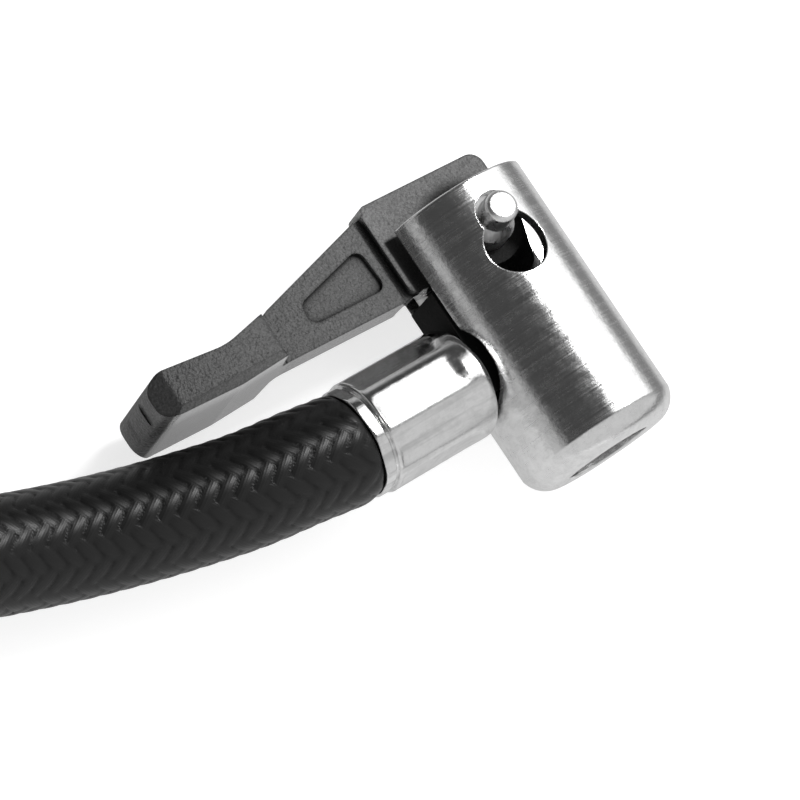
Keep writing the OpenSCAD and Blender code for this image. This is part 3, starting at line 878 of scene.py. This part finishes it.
ferrule = {
    "radius": 6.15, "length": 14.8, "shoulder": 1.3,
    "lip": 1.3, "lipDrop": 0.25, "lipSlope": 0.12,
    "grooveDrop": 0.55, "grooveWidth": 0.22, "grooveEnd": 0.25,
    "flats": 8, "flat": 5.85, "lipFlat": 5.66, "soft": 0.06, "turn": 15,
    "flatStart": (0.3, 0.7),  # behind the lip, and over how much they grow
    "flatEnd": 11.4, "flatFade": 1.2, "flatRun": 1.3,
    "bore": 5.35, "stem": 2.9, "cup": 12.4, "endWall": 1.4, "skirt": 4.65,
    "cells": 28,
}


def makeFerrule(name, origin, axis):
    f = ferrule
    r, l, lip = f["radius"], f["length"], f["lip"]
    lipTop, grooveTop, wall = r - f["lipDrop"], r - f["grooveDrop"], f["cup"] + f["endWall"]
    outer = rounded([  # along, radius, fillet
        (0, lipTop, 0.22), (lip - f["lipSlope"], lipTop, 0.2), (lip, grooveTop, 0.08),
        (lip + f["grooveWidth"], grooveTop, 0.08), (lip + f["grooveEnd"], r, 0.28),
        (l, r, f["shoulder"]), (l, f["skirt"], 0.12), (wall, f["skirt"], 0.1),
        (wall, f["stem"], 0.1), (f["cup"], f["stem"], 0.1), (f["cup"], f["bore"], 0.3),
        (0, f["bore"], 0.25),
    ], 8)
    profile = []
    for i, (u, rad) in enumerate(outer):
        profile.append((u, rad))
        nextU, nextR = outer[(i + 1) % len(outer)]
        gap = abs(nextU - u)
        if gap > 2 and rad > f["bore"] + 0.3:  # long straight stretches get cells
            n = f["cells"]
            profile += [
                (u + (nextU - u) * k / n, rad + (nextR - rad) * k / n) for k in range(1, n)
            ]

    # presses the flats in, soft where they meet the round
    def section(u, rad, angle):
        if rad < f["bore"] + 0.05 or u > f["flatEnd"] + f["flatFade"]:
            return rad
        onBody = u > lip + 0.1
        spread = math.radians(360 / f["flats"])
        from0 = angle - math.radians(f["turn"])
        wrapped = (from0 % spread) - spread / 2
        flat = (f["flat"] if onBody else f["lipFlat"]) / math.cos(wrapped)
        begin, run = f["flatStart"]
        rise = (u - lip - begin) / run if onBody else 1
        fall = (f["flatEnd"] + f["flatFade"] - u) / f["flatRun"]
        fade = min(1, max(0, rise)) * min(1, max(0, fall))
        fade = fade * fade * (3 - 2 * fade)
        soft = 0.5 * (rad + flat - math.sqrt((rad - flat) ** 2 + f["soft"] * f["soft"]))
        return rad + (soft - rad) * fade

    return turned(name, profile, axisFrame(origin, axis, (0, 0, -1)), 192, True, section)


addPiece(
    "crimpFerrule", makeFerrule("crimpFerrule", hose["exit"], (1, 0, 0)), "chuck_core",
    fittingChrome, ("chuck_ferrule",),
)
farFerrule = addPiece(
    "farFerrule", makeFerrule("farFerrule", tuple(hoseStop), tuple(stopWay)), "chuck_core",
    fittingChrome, ("far_ferrule",),
)
print("ferrules made")


# swivel nut at the far end

nut = {
    "start": 14.95,  # from the hose's end, as is thread
    "thread": 20.8,
    "radius": 6.5, "length": 12.1, "lip": 2.7, "neck": 3.55, "chamber": 4.9,
    "bore": 4.5, "entry": 0.3, "pitch": 1.0, "threadDepth": 0.28, "threadSteps": 60,
    "flutes": 24, "fluteDepth": 0.32, "fluteShape": 1.5,
    "fluteEnds": (1.4, 1.3, 0.7),  # clear of both ends, and over how much they rise
    "cells": 30,
}


def makeNut():
    n = nut
    r, l = n["radius"], n["length"]
    mouth = n["bore"] + n["entry"]
    outer = rounded([(0, n["neck"], 0.2), (0, r, 0.8), (l, r, 0.6), (l, mouth, 0)], 8)
    profile = []
    for i, (u, rad) in enumerate(outer):
        profile.append((u, rad))
        if i + 1 < len(outer) and outer[i + 1][0] - u > 2:
            cells, span = n["cells"], outer[i + 1][0] - u
            profile += [(u + span * k / cells, rad) for k in range(1, cells)]
    threadStart, threadEnd, steps = n["thread"] - n["start"], l - n["entry"], n["threadSteps"]
    profile += [
        (threadEnd - (threadEnd - threadStart) * k / steps, n["bore"]) for k in range(steps + 1)
    ]
    profile += [(threadStart, n["chamber"]), (n["lip"], n["chamber"]), (n["lip"], n["neck"])]

    def section(u, rad, angle):
        if rad > r - 0.05:
            first, last, rise = n["fluteEnds"]
            edge = min(1, max(0, (u - first) / rise)) * min(1, max(0, (l - last - u) / rise))
            wave = abs(math.sin(angle * n["flutes"] / 2))
            return rad - n["fluteDepth"] * edge * (1 - wave) ** n["fluteShape"]
        if abs(rad - n["bore"]) < 1e-6:
            turnShare = (u / n["pitch"] - angle / (2 * math.pi)) % 1
            return rad + n["threadDepth"] * abs(2 * turnShare - 1)
        return rad

    place = axisFrame(tuple(hoseStop + stopWay * n["start"]), tuple(stopWay), (0, 0, -1))
    return turned("swivelNut", profile, place, 192, True, section)


nutPiece = addPiece(
    "swivelNut", makeNut(), "nut", fittingChrome, ("swivel_nut",)
)
dressNode("far_nipple", fittingChrome)
dressNode("nipple_gasket", blackRubber)


# barrel

barrel = {
    "radius": 9, "wall": 1.2, "height": 30.4, "floor": 1.8, "mouth": 4.8, "rim": 0.25,
    "lobe": 6.9, "lobeHeight": 22.4, "neck": 4.6,  # the keyhole
    "hinge": 26,
    "rearSlot": 6.9, "stem": 13.9, "hole": 4.7,  # round the hose's stem
    "frontSlot": 4.8, "frontFrom": 19.5,
    "travel": 1.1,
    "crown": 0.22, "flatRadius": 6.2,  # the closed end's dome and its flat middle
    "creaseAt": 2.2, "crease": 15, "domeSteps": 24,
    "edge": 0.13, "around": 288,
}


def makeBarrel():
    b = barrel
    r, inner = b["radius"], b["radius"] - b["wall"]
    start = math.radians(b["crease"])
    belly = []
    for k in range(b["domeSteps"] + 1):
        t = start + (math.pi / 2 - start) * k / b["domeSteps"]
        drop = (math.sin(t) - math.sin(start)) / (1 - math.sin(start))
        belly.append((
            b["creaseAt"] - (b["creaseAt"] + b["crown"]) * drop,
            b["flatRadius"] + (r - b["flatRadius"]) * math.cos(t) / math.cos(start),
        ))
    corners = [  # along, radius, fillet
        (-b["crown"], b["flatRadius"], 0), (-b["crown"], b["mouth"], 0.2),
        (b["floor"], b["mouth"], 0.18), (b["floor"], inner, 0.8),
        (b["height"], inner, b["rim"]), (b["height"], r, b["rim"]), (b["creaseAt"], r, 0),
    ]
    profile = belly
    for before, at, after in zip(corners, corners[1:], corners[2:]):
        profile += cornerArc(before[:2], at[:2], after[:2], at[2], 14)
    profile += [(b["height"] - b["rim"] - 0.1, r), (b["creaseAt"] + 0.1, r)]
    place = axisFrame((0, 0, 0), (0, 1, 0), (1, 0, 0))
    shell = turned("barrelShell", profile, place, b["around"])
    past = b["height"] + 1  # cutters stand out by 1 mm
    half, lobe = b["neck"] / 2, b["lobe"] / 2
    drop = math.asin(half / lobe)
    keyhole = arcAt(b["lobeHeight"], lobe, math.pi / 2 + drop, 2 * math.pi - 2 * drop, 72)
    keyhole += arcAt(b["hinge"], half, 0, math.pi, 32)
    across = prism("keyhole", keyhole, -r - 1, r + 1, sideways)
    hole, slotHalf = b["hole"], b["rearSlot"] / 2
    rise = math.asin(slotHalf / hole)
    top, quarter = b["stem"] + b["travel"], math.pi / 2 - rise
    rear = arcAt(b["stem"], hole, math.pi, math.pi, 48) + arcAt(top, hole, 0, quarter, 16)
    rear += [(slotHalf, past), (-slotHalf, past)]
    rear += arcAt(top, hole, math.pi / 2 + rise, quarter, 16)
    rearCut = prism("rear", rear, -r - 1, -r / 2, endways)
    front, low = b["frontSlot"] / 2, b["frontFrom"]
    notch = [(-front, low), (front, low), (front, past), (-front, past)]
    frontCut = prism("front", notch, r / 2, r + 1, endways)
    cut = combined(shell, [("DIFFERENCE", tool) for tool in (across, rearCut, frontCut)], "cut")
    return bevelled(cut, "chromeBarrel", b["edge"], 3, 38)


barrelPiece = addPiece(
    "chromeBarrel", makeBarrel(), "barrel", barrelChrome, ("barrel_shell",)
)
print("barrel made,", len(barrelPiece.data.polygons), "faces")


# hinge pin

pin = {
    "length": 21.1, "end": 1.8, "round": 0.62,
    "middle": 2.7, "middleLength": 13.227, "cone": 1.3,
}


def makePin():
    half, mid = pin["length"] / 2, pin["middleLength"] / 2
    thin, thick, cone = pin["end"], pin["middle"], mid + pin["cone"]
    profile = rounded([  # along, radius, fillet
        (-half, 0, 0), (-half, thin, pin["round"]), (-cone, thin, 0.4), (-mid, thick, 0.3),
        (mid, thick, 0.3), (cone, thin, 0.4), (half, thin, pin["round"]), (half, 0, 0),
    ], 10)
    place = axisFrame((0, barrel["hinge"], 0), (0, 0, 1), (1, 0, 0))
    return turned("steppedPin", profile, place, 96, False)


addPiece("steppedPin", makePin(), "barrel", pinChrome, ("hinge_pin",))
print("pin made")


# lever

lever = {
    "thick": 4, "reach": 42.1, "hub": 4.2, "hubLength": 9.4, "bore": 2.75, "edge": 0.22,
    "groove": (-10.95, -9.75), "grooveDepth": 1, "grooveLow": -2.2, "corner": 1.2,
    "panelDepth": 0.5,
    "pad": 14, "padBelow": 5, "padAbove": 7,
    "chamfer": 1.2, "chamferLow": 2.55, "chamferLength": 16.6,
    "lobe": 8, "lobeSpan": 6.2, "lobeSteps": 120,  # three round lobes end the pad
    "tipCut": 0.32, "tipHalf": 5.35,
    "outline": [  # x and z from the pin, fillet
        (5.9, -0.8, 0.6), (5.9, 8.05, 1.6), (-9.4, 8.5, 0.5), (-9.5, 7.6, 0), (-10.7, 7.5, 0),
        (-24.5, 3.8, 0), (-26.3, 3.1, 2), (-32.6, 1.8, 8), (-42, 2.9, 1.8), (-41.95, -1.9, 1.8),
        (-33, -2.3, 4), (-25.4, -1.95, 4), (-11, -2.45, 0), (-9.9, -2.2, 0),
        (-6.4, -2.2, 0.6), (-4.8, -4.8, 1), (-2, -7.1, 1.2), (1, -7.1, 1.5), (4.5, -5.1, 1),
    ],
    "panel": [(-12.1, 4.9, 1), (-11.8, -0.2, 1), (-21.5, 0.1, 1.2), (-20.9, 2.7, 1)],
    "plan": [  # the pad from above
        (-25.2, 2, 0.6), (-26.6, 2, 0.8), (-27.4, 7, 1), (-40.1, 7, 0.8), (-42.1, 5.1, 0.8),
        (-42.1, -5.1, 0.8), (-40.1, -7, 0.8), (-27.4, -7, 1), (-26.6, -2, 0.8), (-25.2, -2, 0.6),
    ],
}


def padOutline():
    v = lever
    pitch, r = v["pad"] / 3, v["lobe"]
    plan = rounded(v["plan"], 6)
    front = []
    for k in range(v["lobeSteps"] + 1):
        y = -v["lobeSpan"] + 2 * v["lobeSpan"] * k / v["lobeSteps"]
        lobe = min(range(-1, 2), key=lambda i: abs(y - i * pitch))
        front.append((-v["reach"] + r - math.sqrt(r * r - (y - lobe * pitch) ** 2), y))
    edge = min(x for x, y in plan)
    keep = [p for p in plan if p[0] > edge + v["tipCut"]]
    split = max(range(len(keep)), key=lambda i: abs(keep[i][1] - keep[(i + 1) % len(keep)][1]))
    tip = [p for p in reversed(front) if abs(p[1]) < v["tipHalf"]]
    return keep[: split + 1] + tip + keep[split + 1:]


def makeLever():
    v = lever
    hinge = barrel["hinge"]
    side = [(x, hinge + z) for x, z in rounded(v["outline"], 8)]
    half = v["thick"] / 2
    plate = prism("plate", side, -half, half, sideways)
    (left, right), low, c = v["groove"], v["grooveLow"], v["corner"]
    over, under = hinge + 10, hinge - 4  # clear of the plate
    groove = [(left, over), (left, under), (right + c, under)]
    groove += [  # it turns the corner below the head
        (right + c - c * math.sin(a), hinge + low + c - c * math.cos(a))
        for a in (math.pi / 2 * k / 12 for k in range(13))
    ]
    groove.append((right, over))
    tools = []
    for way in (-1, 1):
        near, far = sorted((way * (half - v["grooveDepth"]), way * (half + 4)))
        tools.append(("DIFFERENCE", prism("groove", groove, near, far, sideways)))
        near, far = sorted((way * (half - v["panelDepth"]), way * (half + 1)))
        face = [(x, hinge + z) for x, z in rounded(v["panel"], 6)]
        tools.append(("DIFFERENCE", prism("panel", face, near, far, sideways)))
    arm = combined(plate, tools, "arm")
    padHalf = v["pad"] / 2
    wide = prism("wide", side, -padHalf - 1, padHalf + 1, sideways)
    low, high = hinge - v["padBelow"], hinge + v["padAbove"]
    cutters = [("INTERSECT", prism("plan", padOutline(), low, high, downwards))]
    c, z = v["chamfer"], hinge - v["chamferLow"]
    for way in (-1, 1):
        y = way * padHalf
        edge = [(y - c * way, z), (y, z + c), (y + way * c, z), (y, z - c)]
        near, far = -v["reach"] - 1, -v["reach"] + v["chamferLength"]
        cutters.append(("DIFFERENCE", prism("corner", edge, near, far, endways)))
    pad = combined(wide, cutters, "pad")
    frameAt = axisFrame((0, hinge, 0), (0, 0, 1), (1, 0, 0))

    def rod(name, half, radius):
        profile = [(-half, 0), (-half, radius), (half, radius), (half, 0)]
        return turned(name, profile, frameAt, 96, False)

    hub, bore = rod("hub", v["hubLength"] / 2, v["hub"]), rod("bore", 8, v["bore"])
    whole = combined(arm, [("UNION", pad), ("UNION", hub), ("DIFFERENCE", bore)], "whole")
    return bevelled(whole, "camLever", v["edge"], 3, 35)


leverPiece = addPiece(
    "camLever", makeLever(), "lever", leverNylon, ("clip_lever",)
)
print("lever made,", len(leverPiece.data.polygons), "faces")


# rubber seal and stem gasket

seal = {
    "low": 2, "height": 7, "radius": 7.4, "bore": 4, "lip": 0.7, "step": 0.8,
    "waist": 0.5, "waistAt": (0.35, 0.5, 0.65),  # shares of the height
}
gasket = {"outer": 4.3, "inner": 3.05, "from": 8.65, "thick": 0.8}


def makeSeal():
    s = seal
    b, r, h = s["bore"], s["radius"], s["height"]
    low, middle, high = (h * share for share in s["waistAt"])
    profile = rounded([  # along, radius, fillet
        (0, b + s["lip"], 0.25), (0, r, 0.7), (low, r, 0.3), (middle, r - s["waist"], 0.5),
        (high, r, 0.3), (h, r, 0.3), (h, b, 0.3), (s["step"], b, 0.3),
    ], 6)
    place = axisFrame((0, s["low"], 0), (0, 1, 0), (1, 0, 0))
    return turned("valveSeal", profile, place, 128)


def makeGasket():
    g = gasket
    inner, outer, thick = g["inner"], g["outer"], g["thick"]
    profile = rounded(
        [(0, inner, 0.1), (0, outer, 0.15), (thick, outer, 0.15), (thick, inner, 0.1)], 5
    )
    place = axisFrame((-g["from"] - g["thick"], barrel["stem"], 0), (1, 0, 0), (0, 0, 1))
    return turned("stemGasket", profile, place, 96)


addPiece("valveSeal", makeSeal(), "chuck_core", blackRubber, ("valve_seal",))
addPiece("stemGasket", makeGasket(), "chuck_core", blackRubber, ("stem_gasket",))
dressNode("plunger_core", plungerNylon)
dressNode("seal_washer", bareBrass)
dressNode("depressor_pin", bareBrass)
dressNode("hose_stem", fittingChrome)
for name in ("chuck_liner_end", "far_liner_end"):
    dressNode(name, blackRubber)
for name in ("chuck_braid_end", "far_braid_end"):
    dressNode(name, blackBraid)
print("seals and inner pieces dressed")


# floor, lamps and world

studio = {
    "floor": -10.55,  # mm; the other lengths here are metres
    "floorSize": 1.6,
    "floorCentre": (-0.05, 0.05),
    "floorColour": grey(0.66),
    "floorRough": 0.9,
    "floorGlow": 0.58,  # for the camera alone, it lights nothing
    "mirrorGlow": 0.42,  # the floor as the metal shows it
    "mirrorColour": grey(0.22),
    "farColour": grey(0.16),
    "farFrom": (0.028, 0.075),
    "dome": 0.50,  # soft light from all round
    "domeTilt": (1.6, 0.3),  # from -Y to +Y
    "domeSpan": (-0.7, 0.7),
    "key": 1.25,  # the bright window
    "keyAcross": (8, 24, 64, 76),  # degrees above +X
    "keyAlong": (-0.24, -0.14, 0.40, 0.52),
    "dark": 0.05,  # the room as the metal shows it, from here on
    "leftGlow": 0.42,
    "rightGlow": 0.17,
    "sideSpan": (-0.9, 0.8),
    "frontGlow": 0.60,
    "backGlow": 0.4,
    "depthSpan": (-0.2, 0.3),
    "turnedFrom": (0.25, 0.7),
    "horizon": (-0.9, -0.3, 0.75, 0.42),
    "horizonSoft": (1.0, 0.55),
    "frontFrom": (-0.2, -0.36),
    "aim": (-0.02, 0.02, 0),
    "lamp": {
        "way": (0.47, 0.15, 0.87), "distance": 0.7, "size": (0.2, 0.14),
        "power": 2.4, "shines": True,
    },
    "fill": {
        "way": (0.1, -0.98, 0.16), "distance": 0.6, "size": (0.5, 0.2),
        "power": 4.6, "shines": False,  # not seen in the metal
    },
}


def addFloor():
    build = bmesh.new()
    half = studio["floorSize"] / 2
    corners = [(-half, -half), (half, -half), (half, half), (-half, half)]
    cx, cy = studio["floorCentre"]
    level = studio["floor"] * mm
    build.faces.new([build.verts.new((x + cx, y + cy, level)) for x, y in corners])
    mesh = bpy.data.meshes.new("floor")
    build.to_mesh(mesh)
    build.free()
    floor = bpy.data.objects.new("floor", mesh)
    scene.collection.objects.link(floor)
    material, tree, shader = startMaterial("paleFloor")
    rays = node(tree, "LightPath").outputs
    seen = math2(tree, "MAXIMUM", rays["Is Camera Ray"], rays["Is Transmission Ray"])
    glow = math2(tree, "MULTIPLY", seen, studio["floorGlow"])
    mirror = math2(tree, "MULTIPLY", rays["Is Glossy Ray"], studio["mirrorGlow"])
    place = node(tree, "SeparateXYZ", {0: node(tree, "TexCoord").outputs["Object"]})
    near, far = studio["farFrom"]
    away = mapped(tree, place.outputs[0], near, far)
    mirrored = blendColour(tree, away, studio["mirrorColour"], studio["farColour"])
    mirror = math2(tree, "MULTIPLY", mirror, math2(tree, "SUBTRACT", 1.0, away))
    feed(tree, shader, {
        "Base Color": blendColour(tree, rays["Is Glossy Ray"], studio["floorColour"], mirrored),
        "Roughness": studio["floorRough"],
        "Specular IOR Level": 0,
        "Emission Color": (1, 1, 1, 1),
        "Emission Strength": math2(tree, "ADD", glow, mirror),
    })
    mesh.materials.append(material)


def addLamp(name, lamp):
    light = bpy.data.lights.new(name, "AREA")
    light.shape = "RECTANGLE"
    light.size, light.size_y = lamp["size"]
    light.energy = lamp["power"]
    holder = bpy.data.objects.new(name, light)
    way = Vector(lamp["way"]).normalized()
    holder.location = Vector(studio["aim"]) + way * lamp["distance"]
    holder.rotation_mode = "QUATERNION"
    across = Vector((1, 0, 0)) if abs(way.x) < 0.9 else Vector((0, 1, 0))
    up = way.cross(across).normalized()
    across = up.cross(way).normalized()
    holder.rotation_quaternion = Matrix((across, up, way)).transposed().to_quaternion()
    holder.visible_glossy = lamp["shines"]
    scene.collection.objects.link(holder)


# 1 between the two inner edges, 0 past the outer ones
def window(tree, value, edges):
    rise = mapped(tree, value, edges[0], edges[1])
    fall = mapped(tree, value, edges[3], edges[2])
    return math2(tree, "MULTIPLY", rise, fall)


def addWorld():
    world = bpy.data.worlds.new("studio")
    scene.world = world
    world.use_nodes = True
    tree = world.node_tree
    tree.nodes.clear()
    way = node(tree, "TexCoord").outputs["Generated"]
    x, y, z = node(tree, "SeparateXYZ", {0: way}).outputs
    around = math2(tree, "MULTIPLY", math2(tree, "ARCTAN2", z, x), 180 / math.pi)
    across, along = (
        window(tree, around, studio["keyAcross"]), window(tree, y, studio["keyAlong"])
    )
    box = math2(tree, "MULTIPLY", across, along)

    # what the metal and the gloss show
    sideGlow = mapped(tree, x, *studio["sideSpan"], studio["leftGlow"], studio["rightGlow"])
    depthGlow = mapped(tree, y, *studio["depthSpan"], studio["frontGlow"], studio["backGlow"])
    turnedAway = mapped(tree, math2(tree, "ABSOLUTE", y), *studio["turnedFrom"])
    glow = blendNumber(tree, turnedAway, sideGlow, depthGlow)
    highEdge = mapped(tree, y, *studio["horizon"])
    horizon = mapped(tree, math2(tree, "DIVIDE", z, highEdge), *studio["horizonSoft"])
    room = math2(tree, "MULTIPLY_ADD", glow, horizon, studio["dark"])
    room = math2(tree, "MULTIPLY_ADD", box, studio["key"], room)
    front = mapped(tree, y, *studio["frontFrom"])
    room = blendNumber(tree, front, room, studio["frontGlow"])

    # what lights the object, and plain white for the camera
    rays = node(tree, "LightPath").outputs
    toFront, toBack = (share * studio["dome"] for share in studio["domeTilt"])
    tilt = mapped(tree, y, *studio["domeSpan"], toFront, toBack, "LINEAR")
    soft = math2(tree, "MULTIPLY_ADD", box, studio["key"], tilt)
    lit = blendNumber(tree, rays["Is Glossy Ray"], soft, room)
    seen = math2(tree, "MAXIMUM", rays["Is Camera Ray"], rays["Is Transmission Ray"])
    final = blendNumber(tree, seen, lit, 1.0)
    back = node(tree, "Background", {"Color": (1, 1, 1, 1), "Strength": final})
    node(tree, "OutputWorld", {"Surface": back.outputs[0]})


addFloor()
addLamp("keyLamp", studio["lamp"])
addLamp("fillLamp", studio["fill"])
addWorld()
print("studio set")
